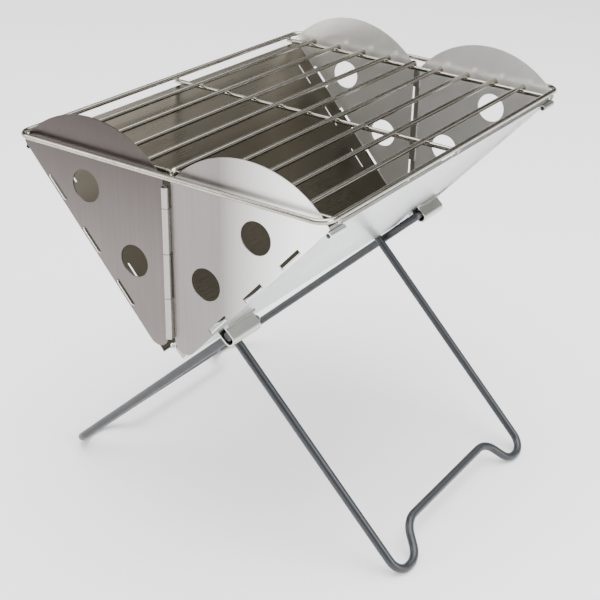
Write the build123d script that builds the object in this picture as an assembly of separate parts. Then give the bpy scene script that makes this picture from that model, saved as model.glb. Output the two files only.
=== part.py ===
from build123d import *

import math
import os

# Folding camp grill. Millimetres, +Z up, +Y along the trough, +X to the right.
# The origin is on the ground, under the middle of the trough.
# Each side panel is drawn shut, upright beside the bottom hinge, and then leans out by OPEN_ANGLE.

# Trough
LENGTH = 230.0  # over the two end sheets
OPEN_ANGLE = 41.6  # lean of each side panel from upright
SLANT = 122.0  # side panel, from its bottom bend to its top edge
STANDOFF = 8.0  # bottom hinge axis to the middle of a side panel's sheet
SHEET = 0.6
END_GAP = 0.3  # side panel's end edge to the end sheet
HEM_DEPTH = 3.4
CURL_RADIUS = 1.7
CURL_LENGTH = 12.0
TRIM_Z = 84.8  # nominal top of the trough above the bottom hinge axis

# Hinges
PIN_FIT = 0.06  # radial clearance of a pin in its knuckles
PIN_RADIUS = 0.9
BOTTOM_KNUCKLE = 1.7
BOTTOM_KNUCKLES = 10
END_KNUCKLE = 1.9
END_BREAKS = (5.6, 27.6, 50.9, 74.0, 84.4)  # heights that part the end hinge's knuckles
KNUCKLE_GAP = 0.3

# End panels
ARCH_X, ARCH_RISE, ARCH_RADIUS = 45.5, 22.5, 56.0
END_OVERLAP = 1.3  # end sheet past the middle of the side panel's sheet
TIP_RADIUS = 6.1
CORNER_RADIUS = 2.0
AIR_HOLES = ((50.2, -13.0), (21.6, -44.5))  # across, and below the top of the trough
AIR_HOLE_RADIUS = 8.3
TAB_STARTS = (28.0, 58.4, 88.8)  # along the slant, from the bottom bend
TAB_LENGTH = 13.4
TAB_SLOT = (-2.1, 0.45)  # across, from the middle of the side panel's sheet
TAB_SLOT_END_GAP = 0.6
LANCE_INSET, LANCE_WIDTH, LANCE_RISE = 12.0, 0.9, 5.5

# Legs
LEG_WIRE = 2.4  # radius
LEG_MIDDLE = 7.5  # along Y
LEG_HALF = 79.7  # the outer leg's rods, from LEG_MIDDLE
LEG_NEST = 5.8  # how far the inner leg's wire runs inside the outer one's
LEG_REACH = 186.5  # the outer leg, pivot to the bottom of its feet
FOOT_DEPTH, FOOT_WIDTH, FOOT_SLOPE = 18.0, 27.0, 10.0
OUTER_LEG_ANGLE = 46.8  # from upright
PIVOT_RISE = 16.5  # along the slant, from the bottom bend
STOP_GAP = 0.15  # leg rod to the panel's bottom bend, which stops it
STUB = 25.0

# Leg brackets
BRACKET_LENGTH = 22.0
BRACKET_SHEET = 0.8
BRACKET_CROWN = 6.1  # centre of the round crown, from the middle of the panel's sheet
BRACKET_BASE = 5.8  # half width
BRACKET_FIT = 0.08

# Grate
GRATE_RISE = 5.6  # middle of the wires above the top of the trough
FRAME_WIRE, ROD_WIRE, CROSS_WIRE = 1.4, 1.3, 1.3  # radii
FRAME_HALF_X, FRAME_HALF_Y, FRAME_CORNER = 89.1, 119.1, 7.0
ROD_COUNT = 9
ROD_END = 111.2  # axis of a rod's turned-down tip
ROD_TIP, ROD_BEND = 1.6, 1.8
CROSS_END = 107.8
WELD = 0.15  # how far welded wires sink into each other

SIN, COS = math.sin(math.radians(OPEN_ANGLE)), math.cos(math.radians(OPEN_ANGLE))
PANEL_END = LENGTH / 2 - SHEET / 2 - END_GAP
PIN_Y = LENGTH / 2 + END_KNUCKLE - SHEET / 2


def leg_pivot(angle):
    """Pivot of a leg that leans by angle, in the shut panel's X and Z."""
    tilt = math.radians(angle - OPEN_ANGLE)
    clear = (LEG_WIRE + STOP_GAP + PIVOT_RISE * math.sin(tilt)) / math.cos(tilt)
    return STANDOFF + SHEET / 2 + clear, PIVOT_RISE


def pivot_height(angle):
    """Height of that pivot above the bottom hinge axis, with the panel open."""
    across, up = leg_pivot(angle)
    return up * COS - across * SIN


def inner_leg_angle():
    """Lean that puts the shorter inner leg's feet on the same ground."""
    angle = OUTER_LEG_ANGLE
    for _ in range(30):
        drop = AXIS_Z + pivot_height(angle) - LEG_WIRE
        angle = math.degrees(math.acos(drop / (LEG_REACH - LEG_NEST)))
    return angle


AXIS_Z = LEG_REACH * math.cos(math.radians(OUTER_LEG_ANGLE)) + LEG_WIRE - pivot_height(OUTER_LEG_ANGLE)
INNER_LEG_ANGLE = inner_leg_angle()
TRIM = AXIS_Z + TRIM_Z
GRATE_Z = TRIM + GRATE_RISE
CROSS_Z = GRATE_Z - ROD_WIRE - CROSS_WIRE + WELD


def block(x, y, z):
    """Box from its (low, high) pair along each axis."""
    centre = [sum(pair) / 2 for pair in (x, y, z)]
    return Pos(*centre) * Box(x[1] - x[0], y[1] - y[0], z[1] - z[0])


def rod(radius, length, centre, axis):
    """Round bar, or bore, centred on a point and lying along an axis."""
    return Plane(origin=centre, z_dir=axis) * Cylinder(radius, length)


def open_out(shape, side):
    """Lean a shut panel's piece, drawn for the right, out to its open place on side 1 or -1."""
    placed = Pos(0, 0, AXIS_Z) * Rot(0, OPEN_ANGLE, 0) * shape
    return placed if side > 0 else mirror(placed, about=Plane.YZ)


def wire(path, radius):
    """Round wire along a path."""
    return sweep(Plane(origin=path @ 0, z_dir=path % 0) * Circle(radius), path=path)


def side_panel(side):
    """Sheet with a hemmed top, a bottom flange, and every second knuckle of the bottom hinge."""
    half = SHEET / 2
    inner, outer = STANDOFF - half, STANDOFF + half
    ends = (-PANEL_END, PANEL_END)
    knuckle_root = BOTTOM_KNUCKLE + KNUCKLE_GAP
    panel = block((inner, outer), ends, (-half, SLANT))
    panel += block((knuckle_root, outer), ends, (-half, half))
    bend = panel.edges().filter_by(Axis.Y).sort_by_distance((outer, 0, -half))[0]
    panel = fillet(bend, SHEET)
    panel += block((inner, outer + SHEET + 0.2), ends, (SLANT - SHEET, SLANT))
    panel += block((outer + 0.2, outer + SHEET + 0.2), ends, (SLANT - HEM_DEPTH, SLANT))
    for y in (-1, 1):
        middle = y * (PANEL_END - CURL_LENGTH / 2)
        centre = (outer + SHEET + CURL_RADIUS, middle, SLANT - CURL_RADIUS)
        panel += rod(CURL_RADIUS, CURL_LENGTH, centre, (0, 1, 0))
        panel -= rod(CURL_RADIUS - SHEET, CURL_LENGTH + 1, centre, (0, 1, 0))
        for start in TAB_STARTS:
            along = (start, start + TAB_LENGTH)
            panel += block((inner, outer), sorted((y * PANEL_END, y * (LENGTH / 2 + half))), along)
            lance = y * (LENGTH / 2 - LANCE_INSET)
            across = (lance - LANCE_WIDTH / 2, lance + LANCE_WIDTH / 2)
            raised = (start + LANCE_RISE, start + LANCE_RISE + TAB_LENGTH)
            panel -= block((inner - 1, outer + SHEET), across, raised)
    pitch = 2 * PANEL_END / BOTTOM_KNUCKLES
    for i in range(0 if side > 0 else 1, BOTTOM_KNUCKLES, 2):
        low = -PANEL_END + i * pitch + KNUCKLE_GAP / 2
        high = low + pitch - KNUCKLE_GAP
        middle = (0, (low + high) / 2, 0)
        panel += block((0, knuckle_root + half), (low, high), (-half, half))
        panel += rod(BOTTOM_KNUCKLE, high - low, middle, (0, 1, 0))
        panel -= rod(PIN_RADIUS + PIN_FIT, high - low + 1, middle, (0, 1, 0))
    return open_out(panel, side)


def bracket(side, y):
    """Saddle on a side panel's outer face: a deep round channel between two flat feet."""
    face = STANDOFF + SHEET / 2
    crown = STANDOFF + BRACKET_CROWN
    channel = LEG_WIRE + BRACKET_FIT
    wall = channel + BRACKET_SHEET
    along = (y - BRACKET_LENGTH / 2, y + BRACKET_LENGTH / 2)
    shape = block((face, face + BRACKET_SHEET), along, (PIVOT_RISE - BRACKET_BASE, PIVOT_RISE + BRACKET_BASE))
    shape += block((face, crown), along, (PIVOT_RISE - wall, PIVOT_RISE + wall))
    shape += rod(wall, BRACKET_LENGTH, (crown, y, PIVOT_RISE), (0, 1, 0))
    inside = (y - BRACKET_LENGTH, y + BRACKET_LENGTH)
    shape -= block((face - 1, crown), inside, (PIVOT_RISE - channel, PIVOT_RISE + channel))
    shape -= rod(channel, 2 * BRACKET_LENGTH, (crown, y, PIVOT_RISE), (0, 1, 0))
    return open_out(shape, side)


def leg(side, nest, angle):
    """Bent wire leg: two stubs, two rods, and a bar between two feet that reach lower than it."""
    across, up = leg_pivot(angle)
    tilt = math.radians(angle - OPEN_ANGLE)
    plane = Plane(
        origin=(across, LEG_MIDDLE, up),
        x_dir=(0, 1, 0),
        z_dir=(math.cos(tilt), 0, -math.sin(tilt)),
    )
    slope = FOOT_SLOPE / FOOT_DEPTH
    shift = nest * (math.hypot(1, slope) - slope)
    half = LEG_HALF - nest
    low = LEG_REACH - nest
    foot_in = LEG_HALF - FOOT_WIDTH + shift
    bar_in = foot_in - FOOT_SLOPE
    right = [
        (half + STUB, 0),
        (half, 0),
        (half, -low),
        (foot_in, -low),
        (bar_in, -low + FOOT_DEPTH),
    ]
    left = [(-y, z) for y, z in reversed(right)]
    radii = [4.0, 15.0 - nest, 17.0 - nest, 8.0 + nest]
    path = FilletPolyline(*right, *left, radius=radii + radii[::-1])
    return open_out(wire(plane * path, LEG_WIRE), side)


def end_panel(side, end):
    """Arched half of an end: air holes, slots for the side panel's tabs, and its hinge knuckles."""
    half = SHEET / 2
    arch_z = TRIM_Z + ARCH_RISE - ARCH_RADIUS
    edge = STANDOFF + END_OVERLAP
    inner = END_KNUCKLE + KNUCKLE_GAP + 0.1
    solid_y = (-half, half)

    arch = rod(ARCH_RADIUS, SHEET, (ARCH_X, 0, arch_z), (0, 1, 0))
    body = block((inner, 100), solid_y, (-40, arch_z))
    body += block((inner, 100), solid_y, (arch_z, 120)) & arch
    shut_side = Rot(0, OPEN_ANGLE, 0) * block((-200, edge), (-1, 1), (-200, 200))
    sheet = body & shut_side
    tip = sheet.edges().filter_by(Axis.Y).sort_by(Axis.Z)[0]
    sheet = fillet(tip, TIP_RADIUS)
    corner = sheet.edges().filter_by(Axis.Y).sort_by(Axis.X)[-1]
    sheet = fillet(corner, CORNER_RADIUS)

    for x, z in AIR_HOLES:
        sheet -= rod(AIR_HOLE_RADIUS, 4, (x, 0, TRIM_Z + z), (0, 1, 0))
    for start in TAB_STARTS:
        across = [STANDOFF + a for a in TAB_SLOT]
        along = (start - TAB_SLOT_END_GAP, start + TAB_LENGTH + TAB_SLOT_END_GAP)
        sheet -= Rot(0, OPEN_ANGLE, 0) * block(across, (-2, 2), along)

    pin = half - END_KNUCKLE
    for i in range(0 if side > 0 else 1, len(END_BREAKS) - 1, 2):
        low = END_BREAKS[i] + KNUCKLE_GAP / 2
        high = END_BREAKS[i + 1] - KNUCKLE_GAP / 2
        middle = (0, pin, (low + high) / 2)
        sheet += block((0, inner + 0.5), solid_y, (low, high))
        sheet += rod(END_KNUCKLE, high - low, middle, (0, 0, 1))
        sheet -= rod(PIN_RADIUS + PIN_FIT, high - low + 1, middle, (0, 0, 1))
    placed = Pos(0, -LENGTH / 2, AXIS_Z) * sheet
    if side < 0:
        placed = mirror(placed, about=Plane.YZ)
    return placed if end < 0 else mirror(placed, about=Plane.XZ)


def end_pin(end):
    """Pin of an end's upright hinge."""
    low, high = END_BREAKS[0] + 0.3, END_BREAKS[-1] - 0.3
    return rod(PIN_RADIUS, high - low, (0, end * PIN_Y, AXIS_Z + (low + high) / 2), (0, 0, 1))


def grate_frame():
    """Ring of wire round the grate."""
    ring = Pos(0, 0, GRATE_Z) * RectangleRounded(2 * FRAME_HALF_X, 2 * FRAME_HALF_Y, FRAME_CORNER)
    return wire(ring.wire(), FRAME_WIRE)


def grate_rod(x):
    """Lengthwise rod with both tips turned down."""
    path = FilletPolyline(
        (x, -ROD_END, GRATE_Z - ROD_TIP - ROD_BEND),
        (x, -ROD_END, GRATE_Z),
        (x, ROD_END, GRATE_Z),
        (x, ROD_END, GRATE_Z - ROD_TIP - ROD_BEND),
        radius=ROD_BEND,
    )
    return wire(path, ROD_WIRE)


def write(name, shape):
    export_step(shape, f"parts/{name}.step")


os.makedirs("parts", exist_ok=True)
SIDES = {"left": -1, "right": 1}
ENDS = {"near": -1, "far": 1}

write("bottom_hinge_pin", rod(PIN_RADIUS, 2 * PANEL_END + 0.4, (0, 0, AXIS_Z), (0, 1, 0)))
for side_name, side in SIDES.items():
    write(f"{side_name}_side_panel", side_panel(side))
    nest, angle = (0, OUTER_LEG_ANGLE) if side > 0 else (LEG_NEST, INNER_LEG_ANGLE)
    write(f"{side_name}_leg", leg(side, nest, angle))
    for end_name, end in ENDS.items():
        write(f"{end_name}_{side_name}_end_panel", end_panel(side, end))
        inset = LEG_HALF - nest + 4.0 + BRACKET_LENGTH / 2
        write(f"{side_name}_{end_name}_leg_bracket", bracket(side, LEG_MIDDLE + end * inset))
for end_name, end in ENDS.items():
    write(f"{end_name}_hinge_pin", end_pin(end))

write("grate_frame", grate_frame())
PITCH = 2 * FRAME_HALF_X / (ROD_COUNT + 1)
for i in range(1, ROD_COUNT + 1):
    write(f"grate_rod_{i}", grate_rod(i * PITCH - FRAME_HALF_X))
for name, y in (("near", -CROSS_END), ("middle", 0.0), ("far", CROSS_END)):
    write(f"{name}_cross_wire", rod(CROSS_WIRE, 2 * FRAME_HALF_X, (0, y, CROSS_Z), (1, 0, 0)))

print("bottom hinge axis height", round(AXIS_Z, 4), "inner leg angle", round(INNER_LEG_ANGLE, 4))
print("leg pivots, open", [
    (round(a * COS + u * SIN, 4), round(AXIS_Z + u * COS - a * SIN, 4))
    for a, u in (leg_pivot(INNER_LEG_ANGLE), leg_pivot(OUTER_LEG_ANGLE))
])
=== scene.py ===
import math

import bmesh
import bpy
from mathutils import Matrix, Vector


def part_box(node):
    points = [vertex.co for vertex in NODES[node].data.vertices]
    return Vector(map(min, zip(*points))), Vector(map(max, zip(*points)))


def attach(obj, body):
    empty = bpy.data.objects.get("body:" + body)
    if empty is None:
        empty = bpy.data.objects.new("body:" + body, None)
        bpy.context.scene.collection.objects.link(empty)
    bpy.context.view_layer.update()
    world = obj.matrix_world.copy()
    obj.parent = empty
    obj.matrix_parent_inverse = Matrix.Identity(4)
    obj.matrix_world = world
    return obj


# Folding camp grill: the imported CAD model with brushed, satin and polished metals,
# and the small marks of its making that the CAD leaves out. Lengths are in metres.

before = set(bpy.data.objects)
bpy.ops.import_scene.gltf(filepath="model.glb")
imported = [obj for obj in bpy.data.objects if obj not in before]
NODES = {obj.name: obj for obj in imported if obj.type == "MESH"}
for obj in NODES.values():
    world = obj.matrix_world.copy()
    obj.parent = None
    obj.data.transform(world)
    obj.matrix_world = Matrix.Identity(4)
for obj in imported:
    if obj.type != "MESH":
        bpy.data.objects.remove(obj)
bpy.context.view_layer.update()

SIDES = {"left": -1, "right": 1}
ENDS = ("near", "far")
CROSS_WIRES = ("near", "middle", "far")
ROD_COUNT = 9
OPEN_ANGLE = math.radians(41.6)  # lean of an open side panel from upright


# ---------------------------------------------------------------- materials

# The window of noise that is spread between a metal's two tones, and how far its
# roughness goes either way.
SHEET_CONTRAST, SHEET_ROUGHNESS = (0.34, 0.66), 0.045
WIRE_CONTRAST, WIRE_ROUGHNESS = (0.36, 0.64), 0.06

CLOUD_SCALE = 16.0  # patches about 60 mm wide on the sheets
PATCH_SCALE, FINE_SCALE = 140.0, 900.0  # patches about 7 mm and marks about 1 mm wide, on wire
SCRATCH_DEPTH, WIRE_DEPTH = 0.00002, 0.00003

FACING_WINDOW = (0.5, 0.8)  # cosines between which a face begins to count as facing

# Shares of cloud and of height in the painted light and shade of the inner face, and the window
# they span.
SHADE_CLOUDS, SHADE_HEIGHT, SHADE_WINDOW = 0.3, 0.85, (0.1, 1.05)

BARREL = 0.0020  # half width of an end hinge's barrel
BARREL_EDGE = 0.0002  # width over which the barrel's painted tone fades out
# The barrel's fixed tone is a painted highlight against the shaded near panels.
BARREL_TONE = (0.34, 0.33, 0.31)
BARREL_POLISH = 0.55  # share of the sheet's roughness left on the barrel


def new_material(name, slot_colour, metallic, roughness):
    material = bpy.data.materials.new(name)
    material.use_nodes = True
    shader = material.node_tree.nodes["Principled BSDF"]
    shader.inputs["Base Color"].default_value = (*slot_colour, 1)
    shader.inputs["Metallic"].default_value = metallic
    shader.inputs["Roughness"].default_value = roughness
    return material, material.node_tree, shader


def noise(tree, scale, stretch=(1, 1, 1), turn=(0, 0, 0), detail=3.0):
    """Noise in the turned row frame, drawn out along the axis whose stretch is small."""
    place = tree.nodes.new("ShaderNodeTexCoord")
    rotate = tree.nodes.new("ShaderNodeMapping")
    rotate.inputs["Rotation"].default_value = turn
    mapping = tree.nodes.new("ShaderNodeMapping")
    mapping.inputs["Scale"].default_value = stretch
    texture = tree.nodes.new("ShaderNodeTexNoise")
    texture.inputs["Scale"].default_value = scale
    texture.inputs["Detail"].default_value = detail
    tree.links.new(place.outputs["Object"], rotate.inputs["Vector"])
    tree.links.new(rotate.outputs["Vector"], mapping.inputs["Vector"])
    tree.links.new(mapping.outputs["Vector"], texture.inputs["Vector"])
    return texture.outputs["Fac"]


def ramp(tree, value, low, high, start, end):
    """Maps a value from start..end to low..high, clamped."""
    node = tree.nodes.new("ShaderNodeMapRange")
    node.inputs["From Min"].default_value = start
    node.inputs["From Max"].default_value = end
    node.inputs["To Min"].default_value = low
    node.inputs["To Max"].default_value = high
    tree.links.new(value, node.inputs["Value"])
    return node.outputs["Result"]


def maths(tree, operation, a, b):
    node = tree.nodes.new("ShaderNodeMath")
    node.operation = operation
    for socket, value in zip(node.inputs, (a, b)):
        if isinstance(value, float):
            socket.default_value = value
        else:
            tree.links.new(value, socket)
    return node.outputs[0]


def weighted_sum(tree, first, first_share, second, second_share):
    first_part = maths(tree, "MULTIPLY", first, first_share)
    second_part = maths(tree, "MULTIPLY", second, second_share)
    return maths(tree, "ADD", first_part, second_part)


def bump(tree, shader, height, distance):
    node = tree.nodes.new("ShaderNodeBump")
    node.inputs["Distance"].default_value = distance
    tree.links.new(height, node.inputs["Height"])
    tree.links.new(node.outputs["Normal"], shader.inputs["Normal"])


def facing(tree, way):
    """1 where the surface faces a direction of the row frame, 0 elsewhere."""
    place = tree.nodes.new("ShaderNodeTexCoord")
    dot = tree.nodes.new("ShaderNodeVectorMath")
    dot.operation = "DOT_PRODUCT"
    dot.inputs[1].default_value = way
    tree.links.new(place.outputs["Normal"], dot.inputs[0])
    return ramp(tree, dot.outputs["Value"], 0.0, 1.0, *FACING_WINDOW)


def blend_colours(tree, factor, first, second):
    """The first colour where the factor is 0, the second where it is 1."""
    mix = tree.nodes.new("ShaderNodeMix")
    mix.data_type = "RGBA"
    for socket, value in (("A", first), ("B", second)):
        if isinstance(value, tuple):
            mix.inputs[socket].default_value = (*value, 1)
        else:
            tree.links.new(value, mix.inputs[socket])
    tree.links.new(factor, mix.inputs["Factor"])
    return mix.outputs["Result"]


def position(tree, axis, low, high):
    """0 at one place along an axis of the row frame, rising to 1 at another."""
    place = tree.nodes.new("ShaderNodeTexCoord")
    split = tree.nodes.new("ShaderNodeSeparateXYZ")
    tree.links.new(place.outputs["Object"], split.inputs["Vector"])
    return ramp(tree, split.outputs[axis], 0.0, 1.0, low, high)


def brushed(
    name,
    dark,
    light,
    roughness,
    stretch,
    turn=(0, 0, 0),
    inside=None,
    painted_light_ramp=None,
    barrel=False,
    metallic=1.0,
):
    """Sheet steel with fine scratches along one way, and broad cloudy patches.

    inside is (direction, top colour, low colour, low, high): the face towards the fire
    gets a painted tone, from the low colour low in the trough to the top colour at its
    top: painted shade on most panels, painted light on the far ones. The painted light
    ramp, (axis, low, high, colour), turns the tone to that colour along an axis: painted
    shade on some panels, a painted highlight on another. barrel gives the upright
    hinge's barrel one fixed tone, a painted highlight against the shaded near panels,
    and a smoother finish.
    """
    material, tree, shader = new_material(name, light, metallic, roughness)
    scratches = noise(tree, 1.0, stretch, turn, detail=5.0)
    clouds = noise(tree, CLOUD_SCALE, detail=2.0)
    both = weighted_sum(tree, scratches, 0.5, clouds, 0.5)
    tone = ramp(tree, both, 0.0, 1.0, *SHEET_CONTRAST)
    colour = blend_colours(tree, tone, dark, light)
    # Painted light and shade: the tone turns to another colour along an axis.
    if painted_light_ramp is not None:
        axis, low, high, changed = painted_light_ramp
        colour = blend_colours(tree, position(tree, axis, low, high), colour, changed)
    # Painted light and shade on the inner face: from the low colour low in the trough to the top
    # colour at its top, with cloudy variation.
    if inside is not None:
        way, painted_top, painted_low, low, high = inside
        height = position(tree, "Z", low, high)
        top_share = weighted_sum(tree, clouds, SHADE_CLOUDS, height, SHADE_HEIGHT)
        top_share = ramp(tree, top_share, 0.0, 1.0, *SHADE_WINDOW)
        painted_inside = blend_colours(tree, top_share, painted_low, painted_top)
        colour = blend_colours(tree, facing(tree, way), colour, painted_inside)
    rough = ramp(
        tree, both, roughness + SHEET_ROUGHNESS, roughness - SHEET_ROUGHNESS, *SHEET_CONTRAST
    )
    # The hinge barrel's fixed tone is a painted highlight on the shaded near panels; its lower
    # roughness is a smoother finish.
    if barrel:
        from_left = position(tree, "X", -BARREL - BARREL_EDGE, -BARREL)
        from_right = position(tree, "X", BARREL + BARREL_EDGE, BARREL)
        barrel_band = maths(tree, "MULTIPLY", from_left, from_right)
        colour = blend_colours(tree, barrel_band, colour, BARREL_TONE)
        polish = ramp(tree, barrel_band, 1.0, BARREL_POLISH, 0.0, 1.0)
        rough = maths(tree, "MULTIPLY", rough, polish)
    tree.links.new(colour, shader.inputs["Base Color"])
    tree.links.new(rough, shader.inputs["Roughness"])
    bump(tree, shader, scratches, SCRATCH_DEPTH)
    return material


def drawn_wire(name, dark, light, roughness, coat=0.0, metallic=1.0, depth=WIRE_DEPTH):
    """Wire with faint drawing marks and patches."""
    material, tree, shader = new_material(name, light, metallic, roughness)
    patches = noise(tree, PATCH_SCALE, detail=4.0)
    fine = noise(tree, FINE_SCALE, detail=2.0)
    both = weighted_sum(tree, patches, 0.6, fine, 0.4)
    tone = ramp(tree, both, 0.0, 1.0, *WIRE_CONTRAST)
    rough = ramp(
        tree, both, roughness + WIRE_ROUGHNESS, roughness - WIRE_ROUGHNESS, *WIRE_CONTRAST
    )
    tree.links.new(blend_colours(tree, tone, dark, light), shader.inputs["Base Color"])
    tree.links.new(rough, shader.inputs["Roughness"])
    shader.inputs["Coat Weight"].default_value = coat
    bump(tree, shader, both, depth)
    return material


# Scratches run along the axis with the smallest number: Y on the side panels and the
# brackets, Z on the end panels.
ACROSS_SHEET = (40, 22, 1500)
UP_SHEET = (1400, 1400, 24)
ALONG_BRACKET = (300, 60, 300)
# Painted shade on the trough's inner faces: the tone at its top and the darker tone low in it.
INSIDE_TOP_SHADE, INSIDE_LOW_SHADE = (0.30, 0.275, 0.228), (0.105, 0.093, 0.070)
TROUGH_LOW, TROUGH_TOP = 0.178, 0.224  # heights between which the painted shade thins out


def side_panel_steel(name, side):
    return brushed(
        f"brushed_side_{name}",
        (0.62, 0.64, 0.66),
        (0.76, 0.78, 0.80),
        0.30,
        ACROSS_SHEET,
        (0, -side * OPEN_ANGLE, 0),  # stands the open panel's sheet upright
        # Painted shade on the inner face, darker low in the trough.
        inside=(
            (-side * math.cos(OPEN_ANGLE), 0, math.sin(OPEN_ANGLE)),
            INSIDE_TOP_SHADE,
            INSIDE_LOW_SHADE,
            TROUGH_LOW,
            TROUGH_TOP,
        ),
        # Painted shade: the outer face darkens towards the far end.
        painted_light_ramp=("Y", -0.05, 0.10, (0.36, 0.362, 0.365)),
    )


# Unless other tones are given, the inner face gets the trough's painted shade.
def end_panel_steel(
    side_name, end_name, dark, light, painted_top=INSIDE_TOP_SHADE, painted_low=INSIDE_LOW_SHADE, painted_light_ramp=None, metallic=1.0
):
    inward = 1 if end_name == "near" else -1
    return brushed(
        f"brushed_end_{end_name}_{side_name}",
        dark,
        light,
        0.33,
        UP_SHEET,
        inside=((0, inward, 0), painted_top, painted_low, TROUGH_LOW, TROUGH_TOP),
        painted_light_ramp=painted_light_ramp,
        barrel=True,
        metallic=metallic,
    )


# The far panels are only partly metallic: as pure metal they mirror the dark trough.
FAR_METALLIC = 0.68

side_steel = {name: side_panel_steel(name, side) for name, side in SIDES.items()}
end_steel = {
    # The end panels' tones are lit and shaded copies of one steel. The near left is painted
    # shade: dark, and darker still towards its top.
    ("left", "near"): end_panel_steel(
        "left",
        "near",
        (0.150, 0.132, 0.127),
        (0.172, 0.152, 0.146),
        painted_light_ramp=("Z", 0.165, 0.235, (0.065, 0.055, 0.052)),
    ),
    # The near right is painted lighter than the near left, with a painted highlight whitening it
    # towards its right edge.
    ("right", "near"): end_panel_steel(
        "right",
        "near",
        (0.215, 0.200, 0.193),
        (0.242, 0.227, 0.219),
        painted_light_ramp=("X", 0.030, 0.074, (1.0, 1.0, 0.99)),
    ),
    # The far panels' inner faces are painted light, near white, darkening a little low in the
    # trough.
    ("left", "far"): end_panel_steel(
        "left",
        "far",
        (0.40, 0.39, 0.38),
        (0.52, 0.51, 0.50),
        painted_top=(0.84, 0.83, 0.80),
        painted_low=(0.78, 0.77, 0.74),
        metallic=FAR_METALLIC,
    ),
    ("right", "far"): end_panel_steel(
        "right",
        "far",
        (0.42, 0.41, 0.40),
        (0.54, 0.53, 0.52),
        painted_top=(1.0, 1.0, 0.99),
        painted_low=(0.90, 0.89, 0.87),
        metallic=FAR_METALLIC,
    ),
}
bracket_steel = brushed(
    "satin_bracket", (0.46, 0.46, 0.42), (0.62, 0.62, 0.57), 0.33, ALONG_BRACKET
)
pin_steel = drawn_wire("pin_wire", (0.25, 0.25, 0.24), (0.45, 0.45, 0.43), 0.35)
leg_coat = drawn_wire(
    "charcoal_coat",
    (0.022, 0.024, 0.028),
    (0.028, 0.031, 0.036),
    0.36,
    coat=0.15,
    metallic=0.2,
    depth=0.000006,
)
grate_steel = drawn_wire("polished_wire", (0.33, 0.31, 0.265), (0.44, 0.42, 0.37), 0.18)
weld_steel = drawn_wire("weld_steel", (0.24, 0.22, 0.19), (0.40, 0.38, 0.34), 0.34)


def dress(node, material):
    for held in NODES[node].material_slots:
        held.material = material


for side_name in SIDES:
    dress(f"{side_name}_side_panel", side_steel[side_name])
    dress(f"{side_name}_leg", leg_coat)
    for end_name in ENDS:
        dress(f"{end_name}_{side_name}_end_panel", end_steel[side_name, end_name])
        dress(f"{side_name}_{end_name}_leg_bracket", bracket_steel)
for pin in ("bottom_hinge_pin", "near_hinge_pin", "far_hinge_pin"):
    dress(pin, pin_steel)
for node in NODES:
    if node.startswith("grate_") or node.endswith("_cross_wire"):
        dress(node, grate_steel)


# ---------------------------------------------------------------- added pieces

# Half sizes of the welds. A spot weld's are out of the bracket's foot, along it and up it.
ROD_WELD = (0.00135, 0.00150, 0.00055)
RING_WELD, RING_WELD_SINK = (0.0016, 0.0019, 0.0006), 0.0001
SPOT_WELD = (0.00018, 0.00095, 0.00095)
SPOT_ROW = 0.0045  # from the middle of the bracket to the middle of a foot
SPOT_STEP = 0.0075
BRACKET_SHEET = 0.0008
UNEVENNESS = 0.07


def bmesh_to_object(name, mesh):
    data = bpy.data.meshes.new(name)
    mesh.to_mesh(data)
    mesh.free()
    data.polygons.foreach_set("use_smooth", [True] * len(data.polygons))
    made = bpy.data.objects.new(name, data)
    bpy.context.scene.collection.objects.link(made)
    return made


def piece(name, mesh, body, material):
    made = bmesh_to_object(name, mesh)
    made.data.materials.append(material)
    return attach(made, body)


def nugget(mesh, centre, radii, turn=None):
    """Squashed ball at a weld, uneven like a real one."""
    grown = bmesh.ops.create_uvsphere(mesh, u_segments=14, v_segments=9, radius=1.0)["verts"]
    for vert in grown:
        ripple = math.sin(9 * vert.co.x + 60 * centre.x) * math.sin(7 * vert.co.y + 40 * centre.y)
        swell = 1 + UNEVENNESS * ripple
        vert.co = Vector(c * r * swell for c, r in zip(vert.co, radii))
        if turn is not None:
            vert.co = turn @ vert.co
        vert.co += centre


def middle(node):
    low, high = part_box(node)
    return (low + high) / 2, (high - low) / 2


def grate_welds():
    """A small flattened nugget wherever a cross wire is welded to a rod or to the ring."""
    mesh = bmesh.new()
    ring_centre, ring_half = middle("grate_frame")
    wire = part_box("grate_frame")[1].z - ring_centre.z
    for cross in CROSS_WIRES:
        centre, half = middle(f"{cross}_cross_wire")
        contact = centre.z + half.z
        for i in range(1, ROD_COUNT + 1):
            rod, _ = middle(f"grate_rod_{i}")
            nugget(mesh, Vector((rod.x, centre.y, contact)), ROD_WELD)
        for side in SIDES.values():
            at = Vector((side * (ring_half.x - wire), centre.y, contact - RING_WELD_SINK))
            nugget(mesh, at, RING_WELD)
    piece("grate_welds", mesh, "grate", weld_steel)


def spot_welds(side_name, end_name):
    """Shallow round prints of the spot welds on a bracket's two flat feet."""
    side = SIDES[side_name]
    points = [vert.co for vert in NODES[f"{side_name}_{end_name}_leg_bracket"].data.vertices]
    up = Vector((side * math.sin(OPEN_ANGLE), 0, math.cos(OPEN_ANGLE)))
    out = Vector((side * math.cos(OPEN_ANGLE), 0, -math.sin(OPEN_ANGLE)))
    heights = [point.dot(up) for point in points]
    along = [point.y for point in points]
    centre_up = (min(heights) + max(heights)) / 2
    centre_y = (min(along) + max(along)) / 2
    base = min(point.dot(out) for point in points) + BRACKET_SHEET
    turn = Matrix((out, Vector((0, 1, 0)), up)).transposed()
    mesh = bmesh.new()
    for row in (-1, 1):
        for step in (-1, 0, 1):
            on_sheet = out * base + up * (centre_up + row * SPOT_ROW)
            at = on_sheet + Vector((0, centre_y + step * SPOT_STEP, 0))
            nugget(mesh, at, SPOT_WELD, turn)
    name = f"{side_name}_{end_name}_spot_welds"
    piece(name, mesh, f"{side_name}_panel", bracket_steel)


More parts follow.
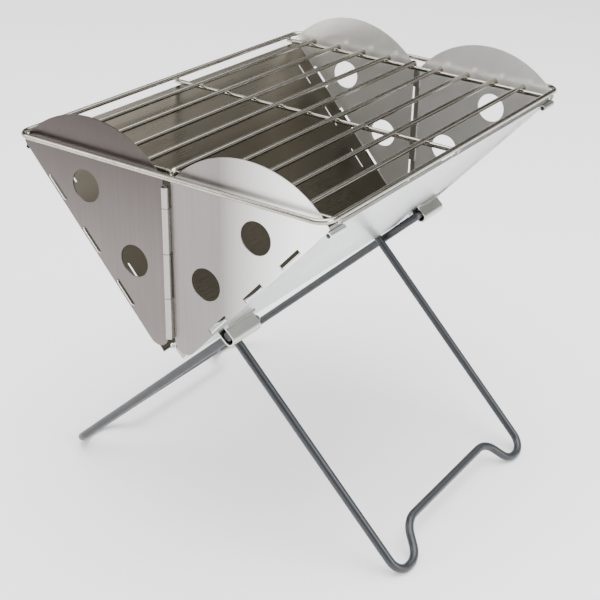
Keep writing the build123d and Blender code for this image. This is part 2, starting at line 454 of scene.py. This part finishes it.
grate_welds()
for side_name in SIDES:
    for end_name in ENDS:
        spot_welds(side_name, end_name)


# ---------------------------------------------------------------- stage, light, camera

FLOOR_REACH = 6.0
FLOOR_GLOW = 0.20  # lifts the floor towards the photo's white
MIDDLE = (0, 0, 0.15)

# Brightness of the sky against the height of its direction. It is pale at the horizon
# and overhead, with a dark band between for the steel to mirror.
BANDS = ((0.0, 0.95), (0.20, 0.95), (0.27, 0.10), (0.62, 0.10), (0.72, 0.9))
SKY_STRENGTH = 1.08
SKY_BLUE = 0.98  # share of blue in the sky's white

# The camera, from a perspective fit to the photo.
CAMERA_PLACE = (0.3533, -0.5278, 0.4314)
CAMERA_RIGHT = Vector((0.85116, 0.52298, 0.04493))
CAMERA_UP = Vector((-0.27557, 0.37237, 0.88623))
CAMERA_LENS, CAMERA_SHIFT = 75.75, (-0.1245, 0.0108)


def stage_floor():
    mesh = bmesh.new()
    bmesh.ops.create_grid(mesh, x_segments=1, y_segments=1, size=FLOOR_REACH)
    floor = bmesh_to_object("floor", mesh)
    material, _, shader = new_material("pale_floor", (0.95, 0.95, 0.95), 0.0, 0.9)
    shader.inputs["Emission Color"].default_value = (1, 1, 1, 1)
    shader.inputs["Emission Strength"].default_value = FLOOR_GLOW
    floor.data.materials.append(material)


def area_light(name, location, size, power):
    data = bpy.data.lights.new(name, "AREA")
    data.shape = "RECTANGLE"
    data.size = data.size_y = size
    data.energy = power
    light = bpy.data.objects.new(name, data)
    bpy.context.scene.collection.objects.link(light)
    light.location = location
    light.rotation_mode = "QUATERNION"
    light.rotation_quaternion = (Vector(MIDDLE) - Vector(location)).to_track_quat("-Z", "Y")


def even_fill():
    sun = bpy.data.objects.new("even_fill", bpy.data.lights.new("even_fill", "SUN"))
    sun.data.energy = 2.0
    sun.data.angle = math.radians(80)
    sun.rotation_euler = (math.radians(-12), math.radians(10), 0)
    bpy.context.scene.collection.objects.link(sun)


def studio_sky():
    world = bpy.data.worlds.new("studio")
    bpy.context.scene.world = world
    world.use_nodes = True
    sky = world.node_tree
    background = sky.nodes["Background"]
    direction = sky.nodes.new("ShaderNodeTexCoord")
    split = sky.nodes.new("ShaderNodeSeparateXYZ")
    sky.links.new(direction.outputs["Generated"], split.inputs["Vector"])
    shade = sky.nodes.new("ShaderNodeValToRGB")
    stops = shade.color_ramp.elements
    for i, (height, value) in enumerate(BANDS):
        stop = stops[i] if i < 2 else stops.new(height)  # a new ramp has two stops
        stop.position = height
        stop.color = (value, value, value * SKY_BLUE, 1)
    sky.links.new(split.outputs["Z"], shade.inputs["Fac"])
    sky.links.new(shade.outputs["Color"], background.inputs["Color"])
    background.inputs["Strength"].default_value = SKY_STRENGTH


def photo_camera():
    camera = bpy.data.objects.new("camera", bpy.data.cameras.new("camera"))
    bpy.context.scene.collection.objects.link(camera)
    camera.data.sensor_width = 36.0
    camera.data.lens = CAMERA_LENS
    camera.data.shift_x, camera.data.shift_y = CAMERA_SHIFT
    back = CAMERA_RIGHT.cross(CAMERA_UP)
    turn = Matrix((CAMERA_RIGHT, CAMERA_UP, back)).transposed().to_4x4()
    camera.matrix_world = Matrix.Translation(CAMERA_PLACE) @ turn
    bpy.context.scene.camera = camera


stage_floor()
area_light("top_softbox", (0.1, -0.2, 1.5), 1.6, 36)
area_light("right_softbox", (1.5, 0.1, 0.7), 1.0, 22)
area_light("left_softbox", (-1.2, -0.9, 0.9), 0.9, 12)
even_fill()
studio_sky()
photo_camera()
